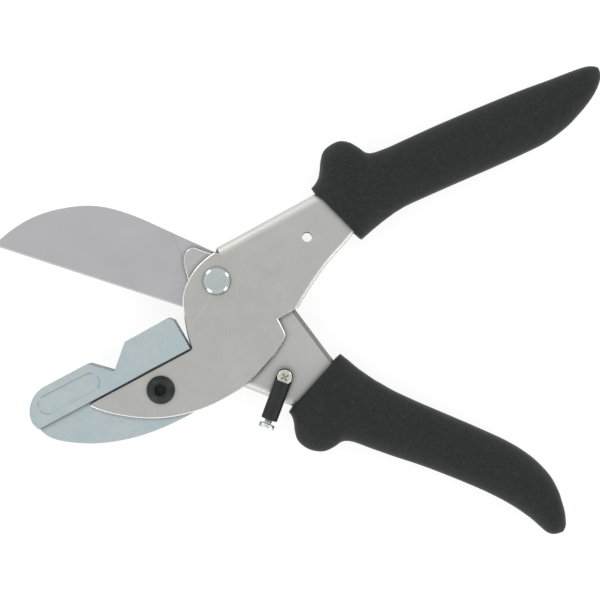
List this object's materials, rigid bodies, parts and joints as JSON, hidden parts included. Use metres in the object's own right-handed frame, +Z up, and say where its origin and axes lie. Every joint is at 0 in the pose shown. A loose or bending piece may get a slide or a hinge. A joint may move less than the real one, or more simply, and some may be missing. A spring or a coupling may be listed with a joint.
{
  "type": "pipe cutter",
  "caption": "Hand shears for plastic pipe and hose: folded steel handles with black grips, riveted pivot, ground blade closing into a slotted V anvil, swinging lock bar.",
  "frame": {"origin": "middle of the underside of the tool, lying on its back on a flat surface with the jaws open", "axes": "+Z up through the thickness of the tool, out of the side with the anvil bolt's head and the lock bar; +X from the jaws to the grips; +Y towards the blade and upper handle"},
  "size_m": [0.2266, 0.1752, 0.02],
  "materials": {
    "sheet_steel": "fine brushed and tumbled, satin",
    "blade_steel": "cross-ground, satin",
    "zinc_plate": "blue-bright zinc plate over blanked steel",
    "black_oxide": "black oxide, semi-matt",
    "nickel": "nickel plate",
    "spring_steel": "bare spring steel",
    "bronze": "sintered bronze",
    "grip": "fine matt moulded texture"
  },
  "bodies": {
    "frame": {"handle_frame": "sheet_steel", "anvil": "zinc_plate", "anvil_bolt": "black_oxide", "anvil_nut": "black_oxide", "pivot_rivet": "zinc_plate", "pivot_bush": "bronze", "pivot_shims": "spring_steel", "upper_grip": "grip", "return_spring": "spring_steel"},
    "lever": {"lever_handle": "sheet_steel", "blade": "blade_steel", "blade_rivets": "sheet_steel", "lower_grip": "grip", "lock_spacer": "zinc_plate"},
    "lock": {"lock_bar": "black_oxide", "lock_screw": "nickel", "lock_washer": "nickel", "lock_nut": "nickel"},
    "adjuster": {"adjusting_screw": "nickel"}
  },
  "joints": [
    {"name": "jaw_pivot", "type": "hinge", "parent": "frame", "child": "lever", "pos_m": [-0.03025, 0.00713, 0.01001], "axis": [0, 0, 1], "range_deg": [0, 45], "stiffness_Nm_per_rad": 0.76, "springref_deg": -28.65, "deforming": ["return_spring"]},
    {"name": "lock_swing", "type": "hinge", "parent": "lever", "child": "lock", "pos_m": [-0.00492, -0.02856, 0.01001], "axis": [0, 0, 1], "range_deg": [-38, 12]},
    {"name": "lock_adjust", "type": "slide", "parent": "lock", "child": "adjuster", "axis": [-0.3469, -0.9379, 0], "range_m": [-0.0015, 0.002]}
  ]
}
